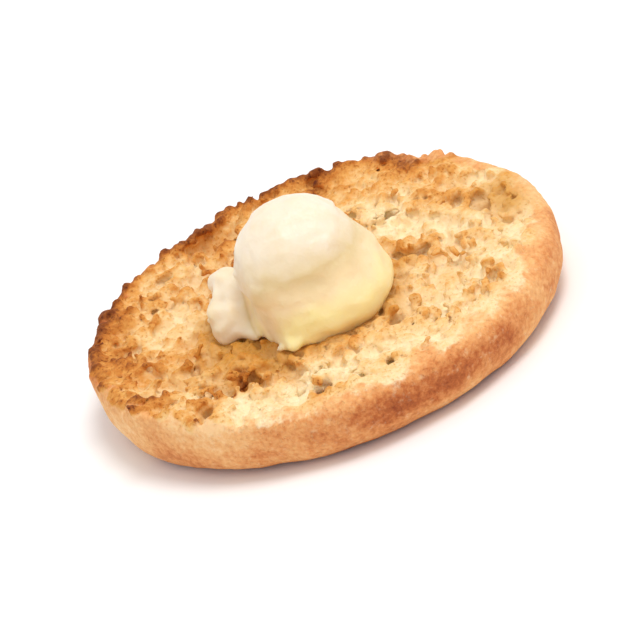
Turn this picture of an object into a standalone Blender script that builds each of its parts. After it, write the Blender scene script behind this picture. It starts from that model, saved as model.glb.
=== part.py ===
"""One toasted half of an English muffin, cut side up, with a scoop of whipped butter on it.

Blender 4.5, metres, +Z up. The origin is the middle of the flat griddled base, +X runs along the
half's slightly longer diameter, and +Y points away from the side that the butter scoop sits nearer to.
"""

import math
import random

import bmesh
import bpy
from mathutils import Vector, noise

# The half muffin
MEAN_RADIUS = 0.0447
RIM_HEIGHT = 0.0134
LIP_RADIUS = 0.0022
LIP_POINTS = 3
FOOT_INSET = 0.0066
FOOT_HEIGHT = 0.0078
TURN_STEPS = 96
FACE_RINGS = 20
FOOT_POINTS = 5
OVALITY = 0.0110
LUMPINESS = 0.0065

# Where the outline is flattened: the direction, how far it spreads to each side, and its share of the radius
FLATS = (
    (math.radians(126.0), math.radians(48.0), 0.040),
    (math.radians(76.0), math.radians(20.0), 0.018),
)

# The torn crumb face, as heights added to the rim height
DISH_DEPTH = 0.0008
SWELL_HEIGHT = 0.0010
SWELL_SIZE = 0.0170
LIP_RISE = 0.0006
ROUND_SIDE = math.radians(-34.0)
ROUND_DROP = 0.0017
PIT_COUNT = 58
PIT_RADIUS = (0.0022, 0.0050)
PIT_DEPTH_SHARE = 0.62
PIT_SEED = 11
TROUGH_ANGLE = math.radians(18.0)
TROUGH_SPREAD = math.radians(17.0)
TROUGH_RADIUS = 0.0385
TROUGH_WIDTH = 0.0024
TROUGH_DEPTH = 0.0022
NOTCH_ANGLE = math.radians(92.0)
NOTCH_SPREAD = math.radians(5.0)
NOTCH_DEPTH = 0.0022

# The butter: one scoop that has sunk a little, with the ragged collar that the scoop left beside it
SEAT_DROP = 0.0012
SEAT_MARGIN = 0.0026
SEAT_BLEND = 0.0030
SEAT_CUTTER = 0.0700
CLEARANCE = 0.0003
BUTTER_VOXEL = 0.00125

# Each blob of the butter: its middle, as x, y and the rise above the seat, and its three radii
BUTTER_BLOBS = {
    "dome": ((0.0005, -0.0089, 0.0058), (0.0134, 0.0133, 0.0086)),
    "shoulder": ((0.0000, -0.0087, 0.0088), (0.0129, 0.0128, 0.0088)),
    "crown": ((-0.0013, -0.0085, 0.0116), (0.0123, 0.0123, 0.0118)),
    "collar_top": ((-0.0155, 0.0027, 0.0054), (0.0034, 0.0040, 0.0044)),
    "collar_middle": ((-0.0134, -0.0006, 0.0046), (0.0044, 0.0062, 0.0048)),
    "collar_low": ((-0.0178, -0.0034, 0.0024), (0.0040, 0.0042, 0.0038)),
    "collar_web": ((-0.0168, 0.0006, 0.0030), (0.0034, 0.0048, 0.0034)),
    "fringe_side": ((-0.0112, -0.0094, 0.0012), (0.0040, 0.0052, 0.0026)),
    "fringe_front": ((-0.0058, -0.0172, 0.0006), (0.0062, 0.0032, 0.0019)),
    "smear": ((-0.0208, 0.0010, 0.0002), (0.0030, 0.0042, 0.0014)),
}

CRUMB_COLOUR = (0.80, 0.52, 0.22, 1.0)
BUTTER_COLOUR = (0.93, 0.85, 0.58, 1.0)


def clear_scene():
    for item in list(bpy.data.objects):
        bpy.data.objects.remove(item)


def new_collection(name):
    collection = bpy.data.collections.new(name)
    bpy.context.scene.collection.children.link(collection)
    return collection


def plain_material(name, colour, roughness):
    material = bpy.data.materials.new(name)
    material.use_nodes = True
    shader = material.node_tree.nodes["Principled BSDF"]
    shader.inputs["Base Color"].default_value = colour
    shader.inputs["Roughness"].default_value = roughness
    shader.inputs["Metallic"].default_value = 0.0
    return material


def smooth_step(value):
    value = min(max(value, 0.0), 1.0)
    return value * value * (3.0 - 2.0 * value)


def hump(distance, spread):
    """1 at no distance, falling smoothly to 0 at the spread."""
    return smooth_step(1.0 - abs(distance) / spread)


def angle_between(first, second):
    return (first - second + math.pi) % math.tau - math.pi


def half_profile():
    """(radius, height) from the middle of the cut face, out over the crust's lip and down to the base."""
    face_radius = MEAN_RADIUS - LIP_RADIUS
    points = [(face_radius * ring / FACE_RINGS, RIM_HEIGHT) for ring in range(FACE_RINGS + 1)]
    for step in range(1, LIP_POINTS + 1):
        turn = 0.5 * math.pi * step / LIP_POINTS
        drop = LIP_RADIUS * (1.0 - math.cos(turn))
        points.append((face_radius + LIP_RADIUS * math.sin(turn), RIM_HEIGHT - drop))
    for step in range(FOOT_POINTS + 1):
        turn = 0.5 * math.pi * step / FOOT_POINTS
        radius = MEAN_RADIUS - FOOT_INSET * (1.0 - math.cos(turn))
        points.append((radius, FOOT_HEIGHT * (1.0 - math.sin(turn))))
    points.append((0.0, 0.0))
    return points


def turned_mesh(name, profile, steps):
    """The mesh that a Screw modifier makes from an open profile in the XZ plane."""
    outline = bpy.data.meshes.new(name + "_profile")
    corners = [(radius, 0.0, height) for radius, height in profile]
    edges = [(index, index + 1) for index in range(len(corners) - 1)]
    outline.from_pydata(corners, edges, [])
    holder = bpy.data.objects.new(name + "_profile", outline)
    bpy.context.scene.collection.objects.link(holder)
    screw = holder.modifiers.new("Turn", "SCREW")
    screw.steps = steps
    screw.render_steps = steps
    screw.use_merge_vertices = True
    screw.merge_threshold = 0.00001
    graph = bpy.context.evaluated_depsgraph_get()
    mesh = bpy.data.meshes.new_from_object(holder.evaluated_get(graph))
    bpy.data.objects.remove(holder)
    return mesh


def outline_scale(angle):
    """How far the outline stands out at this angle, beside a true circle."""
    lumps = noise.noise(Vector((1.6 * math.cos(angle), 1.6 * math.sin(angle), 3.7)))
    scale = 1.0 + OVALITY * math.cos(2.0 * angle) + LUMPINESS * lumps
    for middle, spread, depth in FLATS:
        scale -= depth * hump(angle_between(angle, middle), spread)
    return scale


def make_pits():
    """(x, y, radius) of each broken bubble in the face, spread so that few of them overlap."""
    dice = random.Random(PIT_SEED)
    pits = []
    while len(pits) < PIT_COUNT:
        reach = 0.93 * (MEAN_RADIUS - LIP_RADIUS) * math.sqrt(dice.random())
        angle = math.tau * dice.random()
        radius = PIT_RADIUS[0] + (PIT_RADIUS[1] - PIT_RADIUS[0]) * dice.random() ** 2
        x, y = reach * math.cos(angle), reach * math.sin(angle)
        if all(math.hypot(x - px, y - py) > 0.75 * (radius + pr) for px, py, pr in pits):
            pits.append((x, y, radius))
    return pits


def butter_cover(x, y):
    """1 where the butter presses the crumb flat, falling to 0 a little way outside it."""
    nearest = math.inf
    for (blob_x, blob_y, rise), (reach_x, reach_y, reach_z) in BUTTER_BLOBS.values():
        away_x = (x - blob_x) / reach_x
        away_y = (y - blob_y) / reach_y
        footprint = math.sqrt(max(1.0 - (rise / reach_z) ** 2, 0.0))
        outside = (math.hypot(away_x, away_y) - footprint) * min(reach_x, reach_y)
        nearest = min(nearest, outside)
    return smooth_step(1.0 - (nearest - SEAT_MARGIN) / SEAT_BLEND)


def face_relief(x, y, pits):
    """How far the torn face stands above the rim's height at this place."""
    reach = math.hypot(x, y)
    angle = math.atan2(y, x)
    edge = reach / MEAN_RADIUS
    height = -DISH_DEPTH * (1.0 - edge * edge)
    height += SWELL_HEIGHT * noise.noise(Vector((x / SWELL_SIZE, y / SWELL_SIZE, 5.2)))
    rounded = smooth_step(0.35 + 0.9 * math.cos(angle - ROUND_SIDE))
    height += (1.0 - rounded) * LIP_RISE * smooth_step((edge - 0.86) / 0.12)
    height -= rounded * ROUND_DROP * max((edge - 0.84) / 0.16, 0.0) ** 2
    for pit_x, pit_y, radius in pits:
        away = math.hypot(x - pit_x, y - pit_y)
        height -= PIT_DEPTH_SHARE * radius * hump(away, 1.25 * radius)
    along = hump(angle_between(angle, TROUGH_ANGLE), TROUGH_SPREAD)
    height -= TROUGH_DEPTH * along * hump(reach - TROUGH_RADIUS, 1.6 * TROUGH_WIDTH)
    at_notch = hump(angle_between(angle, NOTCH_ANGLE), NOTCH_SPREAD)
    height -= NOTCH_DEPTH * at_notch * smooth_step((edge - 0.80) / 0.16)
    pressed = butter_cover(x, y)
    return (1.0 - pressed) * height - pressed * SEAT_DROP


def centre_on_origin(mesh):
    """Moves a mesh sideways so that its bounding box is centred on the Z axis. Returns the move."""
    low = [min(vertex.co[axis] for vertex in mesh.vertices) for axis in range(2)]
    high = [max(vertex.co[axis] for vertex in mesh.vertices) for axis in range(2)]
    shift = Vector((-(low[0] + high[0]) / 2.0, -(low[1] + high[1]) / 2.0, 0.0))
    for vertex in mesh.vertices:
        vertex.co += shift
    return shift


def build_muffin_half(collection):
    """The half muffin. Returns the sideways move that centred it, which the butter follows."""
    mesh = turned_mesh("muffin_half", half_profile(), TURN_STEPS)
    mesh.name = "muffin_half"
    pits = make_pits()
    for vertex in mesh.vertices:
        scale = outline_scale(math.atan2(vertex.co.y, vertex.co.x))
        raised = smooth_step((vertex.co.z / RIM_HEIGHT - 0.55) / 0.40)
        vertex.co.x *= scale
        vertex.co.y *= scale
        if raised > 0.0:
            vertex.co.z += raised * face_relief(vertex.co.x, vertex.co.y, pits)
    shift = centre_on_origin(mesh)
    mesh.materials.clear()
    mesh.materials.append(plain_material("toasted_crumb", CRUMB_COLOUR, 0.85))
    mesh.shade_smooth()
    mesh.set_sharp_from_angle(angle=math.radians(50.0))
    collection.objects.link(bpy.data.objects.new("muffin_half", mesh))
    return shift


def blob_mesh():
    """The butter's blobs as overlapping spheres in one mesh, above and below the seat."""
    shape = bmesh.new()
    for middle, radii in BUTTER_BLOBS.values():
        made = bmesh.ops.create_uvsphere(shape, u_segments=48, v_segments=24, radius=1.0)
        for vertex in made["verts"]:
            vertex.co = Vector(middle) + Vector(radii) * Vector(vertex.co)
    mesh = bpy.data.meshes.new("butter_scoop")
    shape.to_mesh(mesh)
    shape.free()
    return mesh


def seat_block(height, cutters):
    """A block whose top is the flat underside that the butter keeps."""
    shape = bmesh.new()
    bmesh.ops.create_cube(shape, size=SEAT_CUTTER)
    mesh = bpy.data.meshes.new("seat_block")
    shape.to_mesh(mesh)
    shape.free()
    block = bpy.data.objects.new("seat_block", mesh)
    block.location = (0.0, 0.0, height - SEAT_CUTTER / 2.0)
    block.hide_render = True
    block.display_type = "WIRE"
    cutters.objects.link(block)
    return block


def build_butter(collection, cutters, shift):
    """The scoop of butter: its blobs melted into one body and cut flat where it sits."""
    seat_height = RIM_HEIGHT - SEAT_DROP + CLEARANCE
    mesh = blob_mesh()
    mesh.materials.append(plain_material("whipped_butter", BUTTER_COLOUR, 0.45))
    butter = bpy.data.objects.new("butter_scoop", mesh)
    butter.location = Vector((0.0, 0.0, seat_height)) + shift
    collection.objects.link(butter)
    melt = butter.modifiers.new("Melt together", "REMESH")
    melt.mode = "VOXEL"
    melt.voxel_size = BUTTER_VOXEL
    melt.use_smooth_shade = True
    soften = butter.modifiers.new("Soften", "SMOOTH")
    soften.factor = 0.5
    soften.iterations = 5
    cut = butter.modifiers.new("Sit flat", "BOOLEAN")
    cut.operation = "DIFFERENCE"
    cut.solver = "EXACT"
    cut.object = seat_block(seat_height, cutters)


def main():
    clear_scene()
    parts = new_collection("english_muffin_half")
    cutters = new_collection("cutters")
    shift = build_muffin_half(parts)
    build_butter(parts, cutters, shift)


main()
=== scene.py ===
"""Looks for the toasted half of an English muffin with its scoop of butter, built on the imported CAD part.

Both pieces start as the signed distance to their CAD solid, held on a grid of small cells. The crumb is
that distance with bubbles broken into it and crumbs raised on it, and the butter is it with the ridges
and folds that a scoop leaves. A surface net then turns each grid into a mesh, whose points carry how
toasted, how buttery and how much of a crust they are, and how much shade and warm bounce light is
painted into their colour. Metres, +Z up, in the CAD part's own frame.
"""

import math

import bpy
import numpy as np
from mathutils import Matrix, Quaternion, Vector
from mathutils.bvhtree import BVHTree


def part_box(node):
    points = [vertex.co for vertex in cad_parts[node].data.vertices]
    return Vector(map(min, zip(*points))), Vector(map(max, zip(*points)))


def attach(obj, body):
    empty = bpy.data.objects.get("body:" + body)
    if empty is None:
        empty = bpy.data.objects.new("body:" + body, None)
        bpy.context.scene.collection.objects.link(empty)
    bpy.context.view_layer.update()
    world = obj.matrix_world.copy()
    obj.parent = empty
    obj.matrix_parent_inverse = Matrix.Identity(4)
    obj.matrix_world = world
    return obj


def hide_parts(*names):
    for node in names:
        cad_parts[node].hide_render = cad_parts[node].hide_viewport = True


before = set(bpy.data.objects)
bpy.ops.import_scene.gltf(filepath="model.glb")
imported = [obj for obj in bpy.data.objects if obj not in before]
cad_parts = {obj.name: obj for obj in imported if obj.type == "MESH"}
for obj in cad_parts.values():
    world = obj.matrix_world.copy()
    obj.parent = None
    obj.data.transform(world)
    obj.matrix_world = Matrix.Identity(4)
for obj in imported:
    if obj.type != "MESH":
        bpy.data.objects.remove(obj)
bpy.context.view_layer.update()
MUFFIN_LOW, MUFFIN_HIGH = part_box("muffin_half")
BUTTER_LOW, BUTTER_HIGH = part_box("butter_scoop")

# The grids. The coarse ones hold the distance to a CAD solid, and the fine ones the detail.
MUFFIN_PITCH = 0.00040
BUTTER_PITCH = 0.00040
COARSE_PITCH = 0.0010
MARGIN = 0.0016
MOST_TRIANGLES = 190_000
# How many times one vertical line may cross a solid
MOST_CROSSINGS = 12

# The photograph's view of the half
VIEW_ELEVATION = math.radians(28.0)
VIEW_ROLL = math.radians(21.7)
VIEW_DISTANCE = 1.25
FRAME_WIDTH = 0.1175
FACE_ABOVE_CENTRE = 0.0067
FACE_LEFT_OF_CENTRE = 0.0005
SENSOR_WIDTH_MM = 36.0
RIM_HEIGHT = 0.0134


class Grid:
    """A box of cells of one size, with its lowest corner's place and its x, y and z values."""

    def __init__(self, low, high, pitch):
        self.low = np.array(low, float)
        self.pitch = pitch
        self.shape = tuple(int(math.ceil((high[i] - low[i]) / pitch)) + 1 for i in range(3))
        self.axes = [self.low[i] + pitch * np.arange(self.shape[i]) for i in range(3)]
        self.x = self.axes[0][:, None, None]
        self.y = self.axes[1][None, :, None]
        self.z = self.axes[2][None, None, :]

    def window(self, centre, reach):
        """The slices of the cells within reach of a point on every axis."""
        first = [(centre[i] - reach - self.low[i]) / self.pitch for i in range(3)]
        last = [(centre[i] + reach - self.low[i]) / self.pitch for i in range(3)]
        return tuple(
            slice(max(int(first[i]), 0), min(int(last[i]) + 2, self.shape[i])) for i in range(3)
        )

    def sample(self, values, points):
        """The values at any points, mixed from the nearest cells. Values may be flat, on x and y only."""
        count = values.ndim
        at = (points[:, :count] - self.low[:count]) / self.pitch
        most = np.array(values.shape) - 1.001
        at = np.clip(at, 0.0, most)
        base = at.astype(int)
        part = at - base
        total = np.zeros(len(points))
        for corner in np.ndindex(*(2,) * count):
            share = np.ones(len(points))
            for axis in range(count):
                share *= part[:, axis] if corner[axis] else 1.0 - part[:, axis]
            total += share * values[tuple(base[:, axis] + corner[axis] for axis in range(count))]
        return total


def smooth_step(value):
    value = np.clip(value, 0.0, 1.0)
    return value * value * (3.0 - 2.0 * value)


def spline_weights(places, count):
    """The weight of each of count knots at each place, by the cubic B-spline."""
    base = np.floor(places).astype(int)
    t = places - base
    shares = (
        (1 - t) ** 3 / 6,
        (3 * t**3 - 6 * t**2 + 4) / 6,
        (-3 * t**3 + 3 * t**2 + 3 * t + 1) / 6,
        t**3 / 6,
    )
    weights = np.zeros((len(places), count))
    for offset, share in enumerate(shares):
        knots = np.clip(base + offset - 1, 0, count - 1)
        np.add.at(weights, (np.arange(len(places)), knots), share)
    return weights


def stretched(knots, places):
    """A grid of knots read smoothly at places along each of its axes."""
    for axis, along in enumerate(places):
        weights = spline_weights(along, knots.shape[axis])
        knots = np.moveaxis(np.tensordot(weights, knots, (1, axis)), 0, axis)
    return knots


def noise_on(grid, size, seed, flat=False):
    """Smooth noise of about unit strength, with lumps of one size in metres, or of one for each axis."""
    sizes = np.broadcast_to(size, 3)
    axes = range(2) if flat else range(3)
    places = [1.5 + (grid.axes[i] - grid.low[i]) / sizes[i] for i in axes]
    counts = [int(along[-1]) + 4 for along in places]
    knots = np.random.default_rng(seed).standard_normal(counts)
    spline_loss = 0.692 ** len(counts)
    return stretched(knots, places) / spline_loss


def mesh_tree(node):
    """A ray-casting tree of a CAD node, whose place is in its vertices."""
    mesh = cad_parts[node].data
    points = [vertex.co.copy() for vertex in mesh.vertices]
    faces = [tuple(polygon.vertices) for polygon in mesh.polygons]
    return BVHTree.FromPolygons(points, faces)


def crossings(tree, x, y, top):
    """The heights at which a vertical line through x, y meets the solid, highest first."""
    heights = []
    start = Vector((x, y, top))
    down = Vector((0.0, 0.0, -1.0))
    hit = tree.ray_cast(start, down)[0]
    while hit is not None and len(heights) < MOST_CROSSINGS:
        heights.append(hit.z)
        hit = tree.ray_cast(hit + 1e-6 * down, down)[0]
    return heights


def solid_distance(node, grid):
    """The signed distance to a CAD solid on a grid, negative inside it."""
    tree = mesh_tree(node)
    high = [along[-1] for along in grid.axes]
    coarse = Grid(grid.low, high, COARSE_PITCH)
    distance = np.zeros(coarse.shape)
    nudge = 1e-5
    for i, x in enumerate(coarse.axes[0]):
        for j, y in enumerate(coarse.axes[1]):
            heights = crossings(tree, x + nudge, y + nudge, high[2] + COARSE_PITCH)
            above = np.array(heights)[:, None] > coarse.axes[2][None, :] if heights else np.zeros((1, 1))
            sign = np.where(above.sum(axis=0) % 2 == 1, -1.0, 1.0) * np.ones(coarse.shape[2])
            for k, z in enumerate(coarse.axes[2]):
                distance[i, j, k] = sign[k] * tree.find_nearest(Vector((x, y, z)))[3]
    places = [(grid.axes[i] - grid.low[i]) / COARSE_PITCH for i in range(3)]
    return stretched(distance, places)


def blurred(flat, pitch, reach):
    """A flat map blurred by a Gaussian of that reach in metres."""
    pad = int(3 * reach / pitch)
    padded = np.pad(flat, pad, mode="edge")
    across = np.fft.fftfreq(padded.shape[0], pitch)[:, None]
    along = np.fft.rfftfreq(padded.shape[1], pitch)[None, :]
    fade = np.exp(-2.0 * (math.pi * reach) ** 2 * (across**2 + along**2))
    result = np.fft.irfft2(np.fft.rfft2(padded) * fade, padded.shape)
    return result[pad : pad + flat.shape[0], pad : pad + flat.shape[1]]


def surface_heights(field, grid):
    """The height of the solid's highest surface at each x and y, or 0 where there is none."""
    inside = field < 0.0
    from_top = np.argmax(inside[:, :, ::-1], axis=2)
    level = grid.shape[2] - 1 - from_top
    level = np.minimum(level, grid.shape[2] - 2)
    under = np.take_along_axis(field, level[:, :, None], 2)[:, :, 0]
    over = np.take_along_axis(field, level[:, :, None] + 1, 2)[:, :, 0]
    part = np.clip(under / np.where(under - over == 0.0, 1.0, under - over), 0.0, 1.0)
    heights = grid.low[2] + grid.pitch * (level + part)
    return np.where(inside.any(axis=2), heights, 0.0)


def surface_net(field, grid):
    """Points and outward-facing quads of the surface where the field is zero."""
    inside = field < 0.0
    cells = tuple(n - 1 for n in grid.shape)
    corners = np.zeros(cells, int)
    for offset in np.ndindex(2, 2, 2):
        corners += inside[tuple(slice(o, o + n) for o, n in zip(offset, cells))]
    active = np.argwhere((corners > 0) & (corners < 8))
    total = np.zeros((len(active), 3))
    crossed = np.zeros(len(active))
    for axis in range(3):
        step = np.eye(3, dtype=int)[axis]
        others = [i for i in range(3) if i != axis]
        for pair in np.ndindex(2, 2):
            start = np.zeros(3, int)
            start[others] = pair
            a = field[tuple((active + start).T)]
            b = field[tuple((active + start + step).T)]
            cut = (a < 0.0) != (b < 0.0)
            share = np.where(cut, a / np.where(cut, a - b, 1.0), 0.0)
            total += cut[:, None] * (start + share[:, None] * step)
            crossed += cut
    points = grid.low + grid.pitch * (active + total / crossed[:, None])
    number = np.full(cells, -1)
    number[tuple(active.T)] = np.arange(len(active))
    quads = []
    for axis in range(3):
        second, third = (axis + 1) % 3, (axis + 2) % 3
        low_side = [slice(1, n - 1) for n in grid.shape]
        high_side = list(low_side)
        low_side[axis] = slice(0, grid.shape[axis] - 1)
        high_side[axis] = slice(1, grid.shape[axis])
        leaves = inside[tuple(low_side)] & ~inside[tuple(high_side)]
        enters = ~inside[tuple(low_side)] & inside[tuple(high_side)]
        first = np.ones(3, int)
        first[axis] = 0
        for crossing, backwards in ((leaves, False), (enters, True)):
            edges = np.argwhere(crossing) + first
            around = []
            for back_second, back_third in ((1, 1), (0, 1), (0, 0), (1, 0)):
                cell = edges.copy()
                cell[:, second] -= back_second
                cell[:, third] -= back_third
                around.append(number[tuple(cell.T)])
            around = np.stack(around, axis=1)
            quads.append(around[:, ::-1] if backwards else around)
    return points, np.concatenate(quads)


def largest_piece(points, quads):
    """Only the biggest connected surface, without loose flecks and sealed bubbles."""
    label = np.arange(len(points))
    sides = np.concatenate([quads[:, (0, 1)], quads[:, (1, 2)], quads[:, (2, 3)], quads[:, (3, 0)]])
    while True:
        before = label.copy()
        least = np.minimum(label[sides[:, 0]], label[sides[:, 1]])
        np.minimum.at(label, sides[:, 0], least)
        np.minimum.at(label, sides[:, 1], least)
        label = label[label]
        if (label == before).all():
            break
    names, sizes = np.unique(label, return_counts=True)
    kept = label == names[np.argmax(sizes)]
    renumbered = np.cumsum(kept) - 1
    quads = renumbered[quads[kept[quads[:, 0]]]]
    return points[kept], quads


def mesh_object(name, points, quads):
    """A smooth-shaded object, with its flattest triangles merged until it is light enough."""
    mesh = bpy.data.meshes.new(name)
    mesh.from_pydata(points, [], quads)
    mesh.validate()
    thing = bpy.data.objects.new(name, mesh)
    bpy.context.scene.collection.objects.link(thing)
    triangles = 2 * len(quads)
    if triangles > MOST_TRIANGLES:
        lighter = thing.modifiers.new("Lighter", "DECIMATE")
        lighter.ratio = MOST_TRIANGLES / triangles
        graph = bpy.context.evaluated_depsgraph_get()
        reduced = bpy.data.meshes.new_from_object(thing.evaluated_get(graph))
        thing.modifiers.clear()
        thing.data = reduced
        bpy.data.meshes.remove(mesh)
        reduced.name = name
    thing.data.shade_smooth()
    return thing


def points_of(thing):
    """The object's mesh points as rows of x, y and z."""
    values = np.empty(3 * len(thing.data.vertices))
    thing.data.vertices.foreach_get("co", values)
    return values.reshape(-1, 3)


def give(thing, name, values):
    """A value on every point of the mesh, for its material to read."""
    attribute = thing.data.attributes.new(name, "FLOAT", "POINT")
    attribute.data.foreach_set("value", np.ascontiguousarray(values, dtype=np.float32))


# ---------------------------------------------------------------------------------------------------
# The crumb
# ---------------------------------------------------------------------------------------------------

# Broken bubbles: how many, their least and greatest radius, and the seed of their places
BUBBLES = (
    (30, 0.0026, 0.0042, 20),
    (120, 0.0012, 0.0026, 21),
    (700, 0.0008, 0.0015, 22),
    (1900, 0.0004, 0.0009, 23),
)
# Crumbs that stand up: how many, their least and greatest radius, and the seed of their places
NUBS = (
    (300, 0.0007, 0.0012, 31),
    (1700, 0.0004, 0.0008, 32),
)
# Single deep holes: x, y and radius in millimetres
HOLES = (
    (13.2, 7.2, 1.3),
    (-17.9, -20.6, 1.5),
    (-21.4, -22.4, 1.0),
    (-6.6, -38.0, 1.4),
    (-3.4, -38.8, 1.1),
)
# The toasted beads along the back and left of the rim: where they start and end, their step, and radii
TOOTH_START = math.radians(42.0)
TOOTH_END = math.radians(206.0)
TOOTH_STEP = 0.0024
TOOTH_RADIUS = (0.0009, 0.0014)
TOOTH_SEED = 37
TOOTH_WARP = 0.5
GAP_RADIUS = 0.0006
# How far noise shifts the shapes of bubbles and crumbs, and the size of its lumps
WARP_REACH = 0.0007
WARP_SIZE = 0.0026
# The roughness of torn crumb, and the gentle swells of the whole surface: their depths and sizes
TEAR_DEPTH = 0.00028
TEAR_SIZE = 0.0010
SWELLS = (
    (0.00014, 0.0052, 53),
    (0.00006, 0.0019, 54),
)
# How much of the rim has no bubbles, and how much more where the rim is smooth
WALL_KEPT = 0.0012
SOFT_WALL_KEPT = 0.0032
# The direction, seen from above, in which the rim is smooth and rounded instead of torn
SOFT_SIDE = math.radians(-24.0)
# How far inside the rim the face's height is read for the rim itself
RIM_READ = 0.0016

# The directions, seen from above, in which the crust is brownest, from its browning and from painted shade,
# and the rim of the face is darkest
BROWN_AND_SHADED_SIDE = math.radians(-73.0)
SCORCHED_SIDE = math.radians(125.0)
# The brown band on the crust, browning and painted shade together: its height and its reach up and down
BAND_HEIGHT = 0.0070
BAND_REACH = 0.0056
# How far up from the base the griddle browned the crust
GRIDDLED_HEIGHT = 0.0022

# Patches of the face that toasted more or less than the rest, three of them painted shade at the deep
# holes: x, y, reach in millimetres, and how much
TOAST_AND_SHADE_PATCHES = (
    (-37, 4, 12, 0.14),
    (-24, 12, 12, -0.08),
    (28, 2, 22, -0.09),
    (14, -30, 18, -0.10),
    (-10, -33, 12, -0.12),
    (-40, 18, 8, 0.26),
    (-37, -4, 4, 0.08),
    (-36.5, -17, 4, 0.08),
    (-40, -15, 4, -0.12),
    (-31, -32, 5, 0.16),
    (-24, -40, 4, 0.14),
    # The next three darken the deep holes: painted shade, not toasting.
    (-6.8, -38.0, 2.2, 0.28),
    (-3.0, -39.0, 2.2, 0.28),
    (-18, -20.6, 2.2, 0.20),
    (2, -24.5, 3.5, 0.14),
    (-3, -34, 5, -0.24),
    (16.4, -0.3, 3.5, 0.16),
    (37.5, 10, 5, 0.14),
    (9, 37, 7, 0.16),
    (24, 34, 8, 0.26),
    (28, 20, 8, 0.16),
    (17, 15, 6, -0.30),
    (33, -14, 7, -0.06),
    (-24, -28, 6, 0.06),
    (-12, 35, 9, 0.10),
)

# How far melted butter has sunk in, and where it has run: x, y, reach in millimetres, and how much
SOAK_DEPTH = 0.0040
SOAK_PATCHES = (
    (-20, -11, 7, 1.0),
    (-12, -19, 5, 0.6),
    (16.5, -1, 4, 0.6),
    (11, -21, 5, 0.4),
    (37, 11, 4, 0.8),
    (38.5, 4.5, 4, 1.0),
)


def outline_of(node, height, count=144):
    """The distance from the Z axis to the solid's side, at count even angles."""
    tree = mesh_tree(node)
    reach = []
    for step in range(count):
        angle = math.tau * step / count
        out = Vector((math.cos(angle), math.sin(angle), 0.0))
        hit = tree.ray_cast(out + Vector((0.0, 0.0, height)), -out)[0]
        reach.append(math.hypot(hit.x, hit.y))
    return np.array(reach)


def outline_at(outline, x, y):
    """The outline's distance from the Z axis in the direction of each place."""
    steps = (np.arctan2(y, x) % math.tau) / math.tau * len(outline)
    base = np.floor(steps).astype(int) % len(outline)
    part = steps - np.floor(steps)
    return outline[base] * (1 - part) + outline[(base + 1) % len(outline)] * part


def inset_from(outline, x, y):
    """How far a place is inside the outline."""
    return outline_at(outline, x, y) - np.hypot(x, y)


def scattered(count, least, most, seed, outline):
    """x, y, radius, three uneven stretches, a turn and a depth for each of count bubbles or crumbs."""
    dice = np.random.default_rng(seed)
    reach = outline.max() * np.sqrt(dice.random(count))
    angle = math.tau * dice.random(count)
    radius = least + (most - least) * dice.random(count) ** 1.8
    return zip(
        reach * np.cos(angle),
        reach * np.sin(angle),
        radius,
        dice.uniform(0.75, 1.5, count),
        dice.uniform(0.75, 1.2, count),
        dice.uniform(0.6, 1.0, count),
        math.tau * dice.random(count),
        dice.random(count),
    )


def blob_distance(grid, window, centre, radii, turn, warp):
    """Roughly how far the window's cells are outside a turned, uneven ellipsoid."""
    x = grid.x[window[0]] - centre[0] + warp[0][window]
    y = grid.y[:, window[1]] - centre[1] + warp[1][window]
    z = grid.z[:, :, window[2]] - centre[2] + warp[2][window]
    along = x * math.cos(turn) + y * math.sin(turn)
    across = y * math.cos(turn) - x * math.sin(turn)
    length = np.sqrt((along / radii[0]) ** 2 + (across / radii[1]) ** 2 + (z / radii[2]) ** 2)
    return (length - 1.0) * min(radii)


def add_teeth(field, grid, outline, surface, warp):
    """Beads of toasted crumb along the back and left of the rim, set in the surface of the plain solid."""
    dice = np.random.default_rng(TOOTH_SEED)
    warp = [TOOTH_WARP * shift for shift in warp]
    gaps = []
    angle = TOOTH_START
    while angle < TOOTH_END:
        radius = TOOTH_RADIUS[0] + (TOOTH_RADIUS[1] - TOOTH_RADIUS[0]) * dice.random()
        reach = outline_at(outline, math.cos(angle), math.sin(angle))
        from_axis = reach - radius - 0.0003 - 0.0009 * dice.random()
        x, y = from_axis * math.cos(angle), from_axis * math.sin(angle)
        top = grid.sample(surface, np.array([[x, y, 0.0]]))[0]
        centre = (x, y, top + radius * dice.uniform(-0.45, 0.10))
        radii = (radius * 1.2, radius * 0.85, radius)
        window = grid.window(centre, 2.0 * radius + WARP_REACH)
        distance = blob_distance(grid, window, centre, radii, angle, warp)
        field[window] = np.minimum(field[window], distance)
        step = TOOTH_STEP * dice.uniform(0.7, 1.3) / reach
        gap = angle + 0.5 * step
        gaps.append((reach * math.cos(gap), reach * math.sin(gap), top + 0.5 * GAP_RADIUS, gap))
        angle += step
    for x, y, z, gap in gaps:
        window = grid.window((x, y, z), 3.0 * GAP_RADIUS + WARP_REACH)
        radii = (2.4 * GAP_RADIUS, GAP_RADIUS, GAP_RADIUS)
        distance = blob_distance(grid, window, (x, y, z), radii, gap, warp)
        field[window] = np.maximum(field[window], -distance)


def softness(x, y):
    """1 where the rim is smooth and rounded, 0 where it is torn."""
    return smooth_step(0.45 + 1.1 * np.cos(np.arctan2(y, x) - SOFT_SIDE))


def softened(field):
    """The field with its sharpest edges rounded, by a short blur along each axis."""
    for axis in range(3):
        field = 0.5 * field + 0.25 * (np.roll(field, 1, axis) + np.roll(field, -1, axis))
    return field


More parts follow.
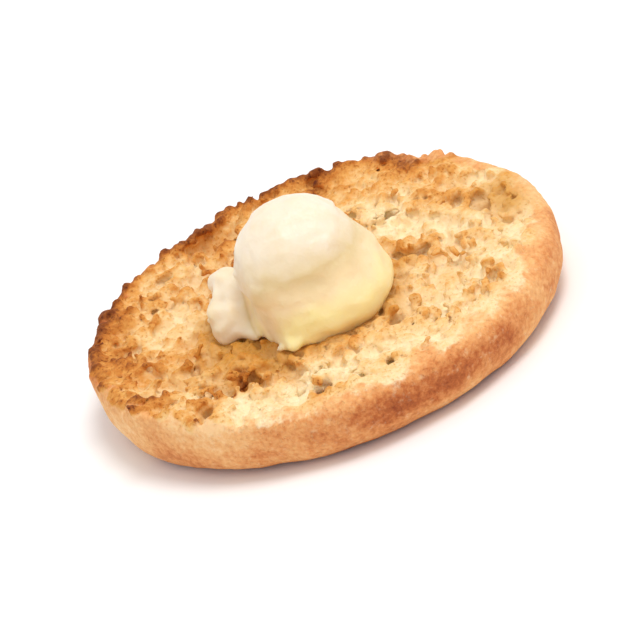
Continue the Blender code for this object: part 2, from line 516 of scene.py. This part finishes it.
def crumb_field(grid, body, outline, surface, heights, butter_gap):
    """The half's distance field with its bubbles broken open and its crumbs raised."""
    warp = [WARP_REACH * noise_on(grid, WARP_SIZE, 40 + axis) for axis in range(3)]
    field = body.copy()
    for count, least, most, seed in NUBS:
        for x, y, radius, long, wide, tall, turn, depth in scattered(count, least, most, seed, outline):
            inset = inset_from(outline, x, y)
            if inset < 0.9 * radius + SOFT_WALL_KEPT * softness(x, y):
                continue
            top = grid.sample(heights, np.array([[x, y, 0.0]]))[0]
            centre = (x, y, top - (0.7 * depth + 0.25) * radius)
            window = grid.window(centre, 2.0 * most + WARP_REACH)
            radii = (radius * long, radius * wide, radius * tall * 1.2)
            distance = blob_distance(grid, window, centre, radii, turn, warp)
            field[window] = np.minimum(field[window], distance)
    for count, least, most, seed in BUBBLES:
        for x, y, radius, long, wide, tall, turn, depth in scattered(count, least, most, seed, outline):
            inset = inset_from(outline, x, y)
            if inset < WALL_KEPT + 0.8 * radius + SOFT_WALL_KEPT * softness(x, y):
                continue
            spot = np.array([[x, y, 0.0]])
            if grid.sample(butter_gap, spot)[0] < 0.3 * radius:
                continue
            top = grid.sample(heights, spot)[0]
            centre = (x, y, top - (0.85 * depth - 0.25) * radius)
            window = grid.window(centre, 2.0 * most + WARP_REACH)
            radii = (radius * long, radius * wide, radius * tall)
            distance = blob_distance(grid, window, centre, radii, turn, warp)
            field[window] = np.maximum(field[window], -distance)
    for x, y, radius in HOLES:
        x, y, radius = 0.001 * x, 0.001 * y, 0.001 * radius
        centre = (x, y, grid.sample(heights, np.array([[x, y, 0.0]]))[0] - 0.6 * radius)
        window = grid.window(centre, 3.0 * radius + WARP_REACH)
        distance = blob_distance(grid, window, centre, (radius, 0.8 * radius, 1.8 * radius), 0.4, warp)
        field[window] = np.maximum(field[window], -distance)
    add_teeth(field, grid, outline, surface, warp)
    field = softened(softened(field))
    torn = noise_on(grid, TEAR_SIZE, 51) + 0.5 * noise_on(grid, 0.6 * TEAR_SIZE, 52)
    near_top = smooth_step((grid.z - (heights[:, :, None] - 0.0030)) / 0.0015)
    x, y = grid.x[:, :, 0], grid.y[:, :, 0]
    inset = inset_from(outline, x, y)
    calm = softness(x, y) * smooth_step((0.0048 - inset) / 0.0024)
    calm = np.maximum(calm, 0.8 * smooth_step((0.0030 - inset) / 0.0014))
    field += TEAR_DEPTH * torn * near_top * (1.0 - 0.75 * calm[:, :, None])
    field += sum(depth * noise_on(grid, size, seed) for depth, size, seed in SWELLS)
    floor = MUFFIN_LOW[2] - grid.z
    return np.maximum(field, floor)


def flat_noise(grid, size, seed):
    return noise_on(grid, size, seed, flat=True)


def rim_level(grid, heights, outline):
    """The face's height at each place, with the height just inside the rim carried on outwards."""
    x, y = grid.x[:, :, 0], grid.y[:, :, 0]
    reach = np.hypot(x, y)
    most = outline_at(outline, x, y) - RIM_READ
    pull = np.where(reach > most, most / np.maximum(reach, 1e-6), 1.0)
    places = np.stack([(x * pull).ravel(), (y * pull).ravel()], axis=1)
    return grid.sample(heights, places).reshape(heights.shape)


def toast_and_shade_map(grid, outline):
    """How brown the face is at each place, from 0 for pale to 1 for dark, before its own relief counts,
    with painted shade at the deep holes.
    """
    x, y = grid.x[:, :, 0], grid.y[:, :, 0]
    inset = inset_from(outline, x, y)
    angle = np.arctan2(y, x)
    toast_and_shade = 0.31 + 0.05 * flat_noise(grid, 0.0100, 61) + 0.07 * flat_noise(grid, 0.0034, 62)
    for patch_x, patch_y, reach, amount in TOAST_AND_SHADE_PATCHES:
        away = np.hypot(x - 0.001 * patch_x, y - 0.001 * patch_y) / (0.001 * reach)
        toast_and_shade += amount * np.exp(-1.2 * away**2)
    band = 0.23 * np.exp(-((inset / 0.0056) ** 2)) + 0.38 * np.exp(-((inset / 0.0017) ** 2))
    return toast_and_shade + smooth_step(0.6 + 0.7 * np.cos(angle - SCORCHED_SIDE)) * band


def hump_at(value, middle, spread):
    """1 at the middle, falling smoothly to 0 at the spread to each side."""
    return smooth_step(1.0 - np.abs(value - middle) / spread)


def bake_and_shade_of(grid, points):
    """How brown the crust is at each point, from 0 for pale to 1 for dark, with painted shade on its brown
    side.
    """
    angle = np.arctan2(points[:, 1], points[:, 0])
    bake_and_shade = 0.36 + 0.07 * grid.sample(noise_on(grid, 0.0110, 64), points)
    bake_and_shade += 0.06 * grid.sample(noise_on(grid, 0.0045, 65), points)
    # The brown side and its band are partly browning and partly painted shade.
    browner_and_shaded = smooth_step(np.cos(angle - BROWN_AND_SHADED_SIDE) * 4.6 - 3.6)
    bake_and_shade += browner_and_shaded * (0.10 + 0.30 * hump_at(points[:, 2], BAND_HEIGHT, BAND_REACH))
    bake_and_shade -= 0.14 * smooth_step((points[:, 2] - 0.0100) / 0.0030)
    torn_side = smooth_step(-1.6 * np.cos(angle - SOFT_SIDE))
    scorched = smooth_step(0.3 + 0.8 * np.cos(angle - SCORCHED_SIDE))
    bake_and_shade += 0.07 * torn_side + 0.42 * scorched * smooth_step((points[:, 2] - 0.0092) / 0.0036)
    griddled = smooth_step((GRIDDLED_HEIGHT - points[:, 2]) / 0.0020)
    return np.clip(bake_and_shade + 0.30 * griddled, 0.0, 1.0)


def in_holes(points):
    """1 at the single deep holes, falling to 0 around them, where shade is painted into the holes."""
    near = np.zeros(len(points))
    for x, y, radius in HOLES:
        away = np.hypot(points[:, 0] - 0.001 * x, points[:, 1] - 0.001 * y) / (0.0017 * radius)
        near += np.exp(-(away**2))
    return near


def soak_of(points, gap):
    """How much melted butter each point of the crumb has drunk, from 0 to 1."""
    soak = 0.75 * np.exp(-((np.maximum(gap, 0.0) / 0.0022) ** 2))
    for patch_x, patch_y, reach, amount in SOAK_PATCHES:
        away = np.hypot(points[:, 0] - 0.001 * patch_x, points[:, 1] - 0.001 * patch_y) / (0.001 * reach)
        soak += amount * np.exp(-(away**2))
    return np.clip(soak, 0.0, 1.0)


def box_maps(thing, outline):
    """A UV map with room for the face, the side as a strip, and the base."""
    mesh = thing.data
    layer = mesh.uv_layers.new(name="OFBake")
    count = len(mesh.loops)
    loop_points = np.empty(count, int)
    mesh.loops.foreach_get("vertex_index", loop_points)
    points = points_of(thing)[loop_points]
    normals = np.empty(3 * len(mesh.polygons))
    mesh.polygons.foreach_get("normal", normals)
    normals = normals.reshape(-1, 3)
    starts = np.empty(len(mesh.polygons), int)
    totals = np.empty(len(mesh.polygons), int)
    mesh.polygons.foreach_get("loop_start", starts)
    mesh.polygons.foreach_get("loop_total", totals)
    face_of = np.repeat(np.arange(len(mesh.polygons)), totals)
    centres = np.add.reduceat(points, starts) / totals[:, None]
    inset = inset_from(outline, centres[:, 0], centres[:, 1])
    is_base = normals[:, 2] < -0.9
    is_side = ~is_base & (inset < 0.0016) & (normals[:, 2] < 0.75)
    is_base, is_side = is_base[face_of], is_side[face_of]
    span = 2.0 * outline.max() + 0.004
    uv = np.empty((count, 2))
    top_share, strip_share = 0.70, 0.16
    uv[:, 0] = (points[:, 0] / span + 0.5) * top_share
    uv[:, 1] = (points[:, 1] / span + 0.5) * top_share
    base_share = 0.28
    uv[is_base, 0] = top_share + 0.01 + (points[is_base, 0] / span + 0.5) * base_share
    uv[is_base, 1] = (points[is_base, 1] / span + 0.5) * base_share
    turn = np.arctan2(points[:, 1], points[:, 0]) / math.tau
    middle = np.arctan2(centres[face_of, 1], centres[face_of, 0]) / math.tau
    turn += np.round(middle - turn)
    drop = (MUFFIN_HIGH[2] + 0.001 - points[:, 2]) / (MUFFIN_HIGH[2] + 0.001)
    uv[is_side, 0] = (0.02 + 0.96 * (turn[is_side] + 0.5)).clip(0.0, 1.0)
    uv[is_side, 1] = top_share + 0.02 + strip_share * drop[is_side]
    layer.data.foreach_set("uv", uv.ravel().astype(np.float32))


def build_muffin(butter_field, butter_grid):
    reach = Vector((MARGIN, MARGIN, MARGIN))
    grid = Grid(MUFFIN_LOW - reach, MUFFIN_HIGH + reach, MUFFIN_PITCH)
    outline = outline_of("muffin_half", 0.75 * MUFFIN_HIGH[2])
    body = solid_distance("muffin_half", grid)
    surface = surface_heights(body, grid)
    heights = rim_level(grid, surface, outline)
    butter_gap = butter_footprint(grid, butter_field, butter_grid)
    field = crumb_field(grid, body, outline, surface, heights, butter_gap)
    points, quads = largest_piece(*surface_net(field, grid))
    muffin = mesh_object("toasted_muffin_half", points, quads)
    points = points_of(muffin)
    tops = rim_level(grid, surface_heights(field, grid), outline)
    near, far = blurred(tops, grid.pitch, 0.0009), blurred(tops, grid.pitch, 0.0030)
    ridge = (points[:, 2] - grid.sample(near, points)) / 0.0006
    rise = (points[:, 2] - grid.sample(far, points)) / 0.0012
    toast_and_shade = grid.sample(toast_and_shade_map(grid, outline), points)
    toast_and_shade += 0.10 * np.clip(ridge, -1.5, 1.5) + 0.10 * np.clip(rise, -1.6, 1.6)
    depth = -grid.sample(body, points)
    # Painted shade: deep cavities and the single deep holes are browned and darkened as if shade and warm
    # bounce light lay in them.
    toast_and_shade += 0.16 * smooth_step((depth - 0.0009) / 0.0014)
    toast_and_shade += 0.60 * in_holes(points) * smooth_step((depth - 0.0003) / 0.0008)
    give(muffin, "toast_and_shade", np.clip(toast_and_shade, 0.0, 0.90))
    inset = inset_from(outline, points[:, 0], points[:, 1])
    below_rim = grid.sample(heights, points) - points[:, 2]
    ragged = 0.0006 * grid.sample(flat_noise(grid, 0.0016, 63), points)
    on_side = smooth_step((0.0034 - inset) / 0.0012)
    on_side = np.maximum(on_side, smooth_step((below_rim - 0.0040) / 0.0010))
    skin = on_side * smooth_step((below_rim + ragged - 0.0002) / 0.0010)
    soft_rim = softness(points[:, 0], points[:, 1])
    spread = 0.0011 * grid.sample(flat_noise(grid, 0.0030, 66), points)
    skin = np.maximum(skin, soft_rim * smooth_step((0.0046 - inset + spread) / 0.0034))
    skin *= 1.0 - smooth_step((depth - 0.0003) / 0.0005)
    give(muffin, "skin", skin)
    give(muffin, "bake_and_shade", bake_and_shade_of(grid, points))
    near_face = 1.0 - smooth_step((below_rim - SOAK_DEPTH) / 0.0012)
    give(muffin, "soak", near_face * soak_of(points, grid.sample(butter_gap, points)))
    box_maps(muffin, outline)
    return muffin


# ---------------------------------------------------------------------------------------------------
# The butter
# ---------------------------------------------------------------------------------------------------

# The height at which the foot is read, how far it goes down into the crumb, and how fast it draws in there
SEAT_RISE = 0.0004
BUTTER_SINK = 0.0016
SINK_TAPER = 0.7
# The collar lies to the left of the first x. The torn fringe of the foot lies to the left of the second,
# in front of a y and below a height.
COLLAR_EDGE = -0.0118
FRINGE_EDGE = 0.0010
FRINGE_FRONT = -0.0060
FRINGE_HEIGHT = 0.0034
# A point on the fold across the ball's front, the way it faces, and its depth
BUTTER_FOLD = (0.0016, -0.0200, 0.0245)
FOLD_FACING = (0.80, -0.20, -0.57)
FOLD_DEPTH = 0.00032
# The crease between the ball and its collar
BALL_MIDDLE = (0.0, -0.0087)
BALL_REACH = 0.0131
CREASE_START = -0.0085
CREASE_HEIGHT = 0.0100
CREASE_WIDTH = 0.0009
CREASE_DEPTH = 0.0010
# The ball's low front, which bulges a little more than the CAD solid: its middle, direction, height, growth
BELLY_CENTRE = (0.0, -0.0090)
BELLY_SIDE = math.radians(-55.0)
BELLY_HEIGHT = 0.0075
BELLY_GROWTH = 0.0013


def butter_shape():
    """The scoop's grid and distance field, reaching a little way down into the crumb."""
    low = BUTTER_LOW - Vector((MARGIN, MARGIN, BUTTER_SINK + MARGIN))
    high = BUTTER_HIGH + Vector((MARGIN, MARGIN, MARGIN))
    grid = Grid(low, high, BUTTER_PITCH)
    body = solid_distance("butter_scoop", grid)
    seat = BUTTER_LOW[2] + SEAT_RISE
    level = int(round((seat - grid.low[2]) / grid.pitch))
    below = np.arange(grid.shape[2]) < level
    field = body.copy()
    field[:, :, below] = body[:, :, level : level + 1]
    field += SINK_TAPER * np.maximum(seat - grid.z, 0.0)
    return grid, field


def butter_footprint(grid, butter_field, butter_grid):
    """How far each place of the face is outside the butter's outline, seen from above."""
    flat = butter_field.min(axis=2)
    inside = [
        np.clip((along - butter_grid.low[i]) / butter_grid.pitch, 0, butter_grid.shape[i] - 1.001)
        for i, along in enumerate(grid.axes[:2])
    ]
    base = [along.astype(int) for along in inside]
    gap = flat[np.ix_(base[0], base[1])]
    x, y = grid.x[:, :, 0], grid.y[:, :, 0]
    out_x = np.maximum(np.maximum(butter_grid.low[0] - x, x - butter_grid.axes[0][-1]), 0.0)
    out_y = np.maximum(np.maximum(butter_grid.low[1] - y, y - butter_grid.axes[1][-1]), 0.0)
    return gap + np.hypot(out_x, out_y)


def crease_at(x, y, z):
    """1 in the crease between the ball and its collar, falling to 0 beside it."""
    outside = np.hypot(x - BALL_MIDDLE[0], y - BALL_MIDDLE[1]) - BALL_REACH
    by_collar = smooth_step((CREASE_START - x) / 0.0030)
    low = smooth_step((BUTTER_LOW[2] + CREASE_HEIGHT - z) / 0.0030)
    return np.exp(-((outside / CREASE_WIDTH) ** 2)) * by_collar * low


def scooped(grid, field):
    """The butter's field with the belly, crease, fold, dents, drag lines and torn edges of a scoop."""
    along = (grid.x - BUTTER_FOLD[0]) * FOLD_FACING[0]
    along = along + (grid.y - BUTTER_FOLD[1]) * FOLD_FACING[1]
    along = along + (grid.z - BUTTER_FOLD[2]) * FOLD_FACING[2]
    along = along + 0.0011 * noise_on(grid, 0.0052, 70)
    fold = FOLD_DEPTH * smooth_step(0.5 + along / 0.0018)
    dents = 0.00026 * noise_on(grid, 0.0060, 71) + 0.00012 * noise_on(grid, 0.0027, 72)
    drag = 0.00008 * noise_on(grid, (0.0045, 0.0045, 0.0011), 73)
    whipped = 0.00006 * noise_on(grid, 0.0010, 74)
    collar = smooth_step((COLLAR_EDGE - grid.x) / 0.0030)
    foot = smooth_step((BUTTER_LOW[2] + FRINGE_HEIGHT - grid.z) / 0.0024)
    foot = foot * (grid.y < FRINGE_FRONT) * smooth_step((FRINGE_EDGE - grid.x) / 0.0040)
    low = smooth_step((BUTTER_LOW[2] + BELLY_HEIGHT - grid.z) / (0.8 * BELLY_HEIGHT))
    ahead = (grid.x - BELLY_CENTRE[0]) * math.cos(BELLY_SIDE)
    ahead = ahead + (grid.y - BELLY_CENTRE[1]) * math.sin(BELLY_SIDE)
    belly = BELLY_GROWTH * low * smooth_step(0.1 + ahead / 0.0090)
    torn = 0.00040 * noise_on(grid, 0.0024, 75) + 0.00026 * noise_on(grid, 0.0013, 76)
    crease = CREASE_DEPTH * crease_at(grid.x, grid.y, grid.z)
    edges = np.maximum(collar, 0.6 * foot) * torn
    return field - belly + crease + fold + dents + drag + whipped + edges


def build_butter(grid, field):
    field = np.maximum(scooped(grid, field), BUTTER_LOW[2] - BUTTER_SINK - grid.z)
    points, quads = largest_piece(*surface_net(field, grid))
    butter = mesh_object("butter_scoop_soft", points, quads)
    points = points_of(butter)
    rise = (points[:, 2] - BUTTER_LOW[2]) / (BUTTER_HIGH[2] - BUTTER_LOW[2])
    on_ball = smooth_step((points[:, 0] - COLLAR_EDGE + 0.0030) / 0.0070)
    # The lower ball is yellower, partly melted butter and partly painted shade and warm bounce light from
    # the toast; the crease between ball and collar gets painted shade.
    melt_shade_and_bounce = (0.15 + 0.85 * on_ball) * smooth_step((0.90 - rise) / 0.80)
    give(butter, "melt_shade_and_bounce", np.maximum(melt_shade_and_bounce, 0.9 * crease_at(*points.T)))
    return butter


# ---------------------------------------------------------------------------------------------------
# Materials
# ---------------------------------------------------------------------------------------------------


def from_srgb(red, green, blue):
    """A linear colour from the 0 to 255 values that a screen shows."""
    values = [value / 255.0 for value in (red, green, blue)]
    linear = [v / 12.92 if v <= 0.04045 else ((v + 0.055) / 1.055) ** 2.4 for v in values]
    return (*linear, 1.0)


class Nodes:
    """Short calls for building one material's nodes."""

    def __init__(self, name):
        self.material = bpy.data.materials.new(name)
        self.material.use_nodes = True
        self.tree = self.material.node_tree
        self.shader = self.tree.nodes["Principled BSDF"]
        self.place = self.tree.nodes.new("ShaderNodeTexCoord").outputs["Object"]

    def link(self, source, target):
        if isinstance(source, (int, float, tuple)):
            target.default_value = source
        else:
            self.tree.links.new(source, target)

    def read(self, name):
        node = self.tree.nodes.new("ShaderNodeAttribute")
        node.attribute_name = name
        return node.outputs["Fac"]

    def noise(self, size, detail=2.0, roughness=0.5):
        node = self.tree.nodes.new("ShaderNodeTexNoise")
        node.inputs["Scale"].default_value = 1.0 / size
        node.inputs["Detail"].default_value = detail
        node.inputs["Roughness"].default_value = roughness
        self.link(self.place, node.inputs["Vector"])
        return node.outputs["Fac"]

    def math(self, operation, first, second=0.0, third=0.0, clamp=False):
        node = self.tree.nodes.new("ShaderNodeMath")
        node.operation = operation
        node.use_clamp = clamp
        for source, socket in zip((first, second, third), node.inputs):
            self.link(source, socket)
        return node.outputs[0]

    def spread(self, value, low, high, to_low=0.0, to_high=1.0):
        node = self.tree.nodes.new("ShaderNodeMapRange")
        node.interpolation_type = "SMOOTHSTEP"
        for source, socket in zip((value, low, high, to_low, to_high), node.inputs):
            self.link(source, socket)
        return node.outputs[0]

    def ramp(self, value, stops):
        node = self.tree.nodes.new("ShaderNodeValToRGB")
        elements = node.color_ramp.elements
        while len(elements) < len(stops):
            elements.new(0.5)
        for element, (position, colour) in zip(elements, stops):
            element.position = position
            element.color = colour
        self.link(value, node.inputs["Fac"])
        return node.outputs["Color"]

    def mix(self, share, first, second, blend="MIX"):
        node = self.tree.nodes.new("ShaderNodeMix")
        node.data_type = "RGBA"
        node.blend_type = blend
        self.link(share, node.inputs[0])
        self.link(first, node.inputs[6])
        self.link(second, node.inputs[7])
        return node.outputs[2]

    def bump(self, height, distance, strength=1.0):
        node = self.tree.nodes.new("ShaderNodeBump")
        node.inputs["Strength"].default_value = strength
        node.inputs["Distance"].default_value = distance
        self.link(height, node.inputs["Height"])
        self.link(node.outputs["Normal"], self.shader.inputs["Normal"])

    def set(self, **values):
        for name, value in values.items():
            self.link(value, self.shader.inputs[name.replace("_", " ")])


def crumb_material():
    nodes = Nodes("toasted_crumb_and_crust")
    grain = nodes.noise(0.00085, detail=3.0)
    fine = nodes.noise(0.00030, detail=2.0)
    pores = nodes.spread(nodes.noise(0.00060, detail=1.0), 0.60, 0.72)
    toast_and_shade = nodes.math("ADD", nodes.read("toast_and_shade"), nodes.math("MULTIPLY_ADD", grain, 0.40, -0.20))
    toast_and_shade = nodes.math("ADD", toast_and_shade, nodes.math("MULTIPLY_ADD", fine, 0.14, -0.07))
    # Pores are browner as well as sunk by the bump below: painted shade in the pores.
    toast_and_shade = nodes.math("MULTIPLY_ADD", pores, 0.10, toast_and_shade, clamp=True)
    crumb = nodes.ramp(
        toast_and_shade,
        (
            (0.00, from_srgb(249, 228, 186)),
            (0.20, from_srgb(244, 214, 164)),
            (0.38, from_srgb(236, 192, 128)),
            (0.54, from_srgb(224, 160, 82)),
            (0.70, from_srgb(198, 122, 48)),
            (0.85, from_srgb(148, 80, 28)),
            (1.00, from_srgb(98, 42, 15)),
        ),
    )
    blotch = nodes.noise(0.0034, detail=3.0, roughness=0.6)
    speck = nodes.noise(0.0010, detail=3.0, roughness=0.65)
    bake_and_shade = nodes.math("ADD", nodes.read("bake_and_shade"), nodes.math("MULTIPLY_ADD", blotch, 0.44, -0.22))
    bake_and_shade = nodes.math("ADD", bake_and_shade, nodes.math("MULTIPLY_ADD", speck, 0.64, -0.32), clamp=True)
    crust = nodes.ramp(
        bake_and_shade,
        (
            (0.10, from_srgb(246, 202, 148)),
            (0.32, from_srgb(236, 176, 114)),
            (0.52, from_srgb(220, 146, 86)),
            (0.72, from_srgb(190, 106, 54)),
            (0.92, from_srgb(148, 70, 34)),
        ),
    )
    patchy = nodes.noise(0.0013, detail=3.0, roughness=0.6)
    skin = nodes.read("skin")
    torn = nodes.math("MULTIPLY_ADD", patchy, 1.6, -0.8)
    skin = nodes.spread(nodes.math("MULTIPLY_ADD", torn, nodes.spread(skin, 0.02, 0.3), skin), 0.05, 0.95)
    colour = nodes.mix(skin, crumb, crust)
    soak = nodes.read("soak")
    colour = nodes.mix(nodes.math("MULTIPLY", soak, 0.5), colour, from_srgb(234, 196, 110), "MULTIPLY")
    colour = nodes.mix(nodes.math("MULTIPLY", soak, 0.6), colour, from_srgb(202, 140, 40))
    nodes.set(Base_Color=colour, Roughness=nodes.spread(soak, 0.2, 1.0, 0.80, 0.38))
    nodes.shader.inputs["Specular IOR Level"].default_value = 0.25
    nodes.shader.inputs["Subsurface Weight"].default_value = 0.15
    nodes.shader.inputs["Subsurface Radius"].default_value = (1.0, 0.6, 0.3)
    nodes.shader.inputs["Subsurface Scale"].default_value = 0.0014
    relief = nodes.math("ADD", nodes.math("MULTIPLY", grain, 0.8), nodes.math("MULTIPLY", fine, 0.35))
    relief = nodes.math("SUBTRACT", relief, nodes.math("MULTIPLY", pores, 0.5))
    nodes.bump(relief, 0.00034, 0.8)
    return nodes.material


def butter_material():
    nodes = Nodes("whipped_butter")
    cloud = nodes.noise(0.0050, detail=3.0)
    fine = nodes.noise(0.0007, detail=2.0)
    melt_shade_and_bounce = nodes.math("ADD", nodes.read("melt_shade_and_bounce"), nodes.math("MULTIPLY_ADD", cloud, 0.44, -0.22), clamp=True)
    # Ramp: a pale crown, a darker stop at 0.36 that is a painted shade band, and yellow stops low down that
    # are melted butter with painted warm bounce light.
    colour = nodes.ramp(
        melt_shade_and_bounce,
        (
            (0.00, from_srgb(238, 223, 200)),
            (0.36, from_srgb(226, 203, 154)),
            (0.70, from_srgb(245, 221, 177)),
            (1.00, from_srgb(254, 230, 166)),
        ),
    )
    nodes.set(Base_Color=colour, Roughness=nodes.spread(fine, 0.3, 0.7, 0.40, 0.52))
    nodes.shader.inputs["Subsurface Weight"].default_value = 0.7
    nodes.shader.inputs["Subsurface Radius"].default_value = (1.0, 0.9, 0.7)
    nodes.shader.inputs["Subsurface Scale"].default_value = 0.0026
    nodes.bump(nodes.math("ADD", fine, nodes.math("MULTIPLY", cloud, 0.8)), 0.00018, 0.6)
    return nodes.material


def floor_material():
    nodes = Nodes("white_floor")
    cloud = nodes.noise(0.40, detail=1.0)
    nodes.set(Base_Color=nodes.ramp(cloud, ((0.3, (0.93, 0.93, 0.93, 1)), (0.7, (0.95, 0.95, 0.95, 1)))))
    nodes.shader.inputs["Roughness"].default_value = 0.6
    nodes.shader.inputs["Specular IOR Level"].default_value = 0.1
    return nodes.material


# ---------------------------------------------------------------------------------------------------
# The studio
# ---------------------------------------------------------------------------------------------------

FLOOR_REACH = 12.0
WORLD_BRIGHTNESS = 0.86
KEY_PLACE = (0.30, -0.16, 1.14)
KEY_SIZE = 0.50
KEY_WATTS = 6.4


def build_floor():
    mesh = bpy.data.meshes.new("studio_floor")
    far = FLOOR_REACH
    corners = [(-far, -far, 0.0), (far, -far, 0.0), (far, far, 0.0), (-far, far, 0.0)]
    mesh.from_pydata(corners, [], [(0, 1, 2, 3)])
    floor = bpy.data.objects.new("studio_floor", mesh)
    floor.location.z = MUFFIN_LOW[2]
    bpy.context.scene.collection.objects.link(floor)
    mesh.materials.append(floor_material())


def aim(thing, place, target):
    thing.location = place
    thing.rotation_mode = "QUATERNION"
    thing.rotation_quaternion = (Vector(target) - Vector(place)).to_track_quat("-Z", "Y")


def soft_light(name, place, size, power):
    light = bpy.data.lights.new(name, "AREA")
    light.shape = "DISK"
    light.size = size
    light.energy = power
    holder = bpy.data.objects.new(name, light)
    bpy.context.scene.collection.objects.link(holder)
    aim(holder, place, (0.0, 0.0, 0.01))


def light_studio():
    world = bpy.data.worlds.new("studio")
    world.use_nodes = True
    background = world.node_tree.nodes["Background"]
    background.inputs["Color"].default_value = (1.0, 1.0, 1.0, 1.0)
    background.inputs["Strength"].default_value = WORLD_BRIGHTNESS
    bpy.context.scene.world = world
    soft_light("key", KEY_PLACE, KEY_SIZE, KEY_WATTS)
    bpy.context.scene.view_settings.view_transform = "Standard"
    bpy.context.scene.view_settings.look = "None"


def place_camera():
    data = bpy.data.cameras.new("camera")
    data.sensor_width = SENSOR_WIDTH_MM
    data.lens = SENSOR_WIDTH_MM * VIEW_DISTANCE / FRAME_WIDTH
    data.clip_start, data.clip_end = 0.05, 50.0
    camera = bpy.data.objects.new("camera", data)
    bpy.context.scene.collection.objects.link(camera)
    back = Vector((0.0, -math.cos(VIEW_ELEVATION), math.sin(VIEW_ELEVATION)))
    camera.rotation_mode = "QUATERNION"
    camera.rotation_quaternion = Quaternion(back, -VIEW_ROLL) @ (-back).to_track_quat("-Z", "Y")
    right = camera.rotation_quaternion @ Vector((1.0, 0.0, 0.0))
    up = camera.rotation_quaternion @ Vector((0.0, 1.0, 0.0))
    middle = Vector((0.0, 0.0, RIM_HEIGHT)) - FACE_ABOVE_CENTRE * up + FACE_LEFT_OF_CENTRE * right
    camera.location = middle + VIEW_DISTANCE * back
    bpy.context.scene.camera = camera


def main():
    butter_grid, butter_field = butter_shape()
    muffin = build_muffin(butter_field, butter_grid)
    muffin.data.materials.append(crumb_material())
    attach(muffin, "root")
    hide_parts("muffin_half")
    butter = build_butter(butter_grid, butter_field)
    butter.data.materials.append(butter_material())
    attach(butter, "root")
    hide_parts("butter_scoop")
    build_floor()
    light_studio()
    place_camera()


main()
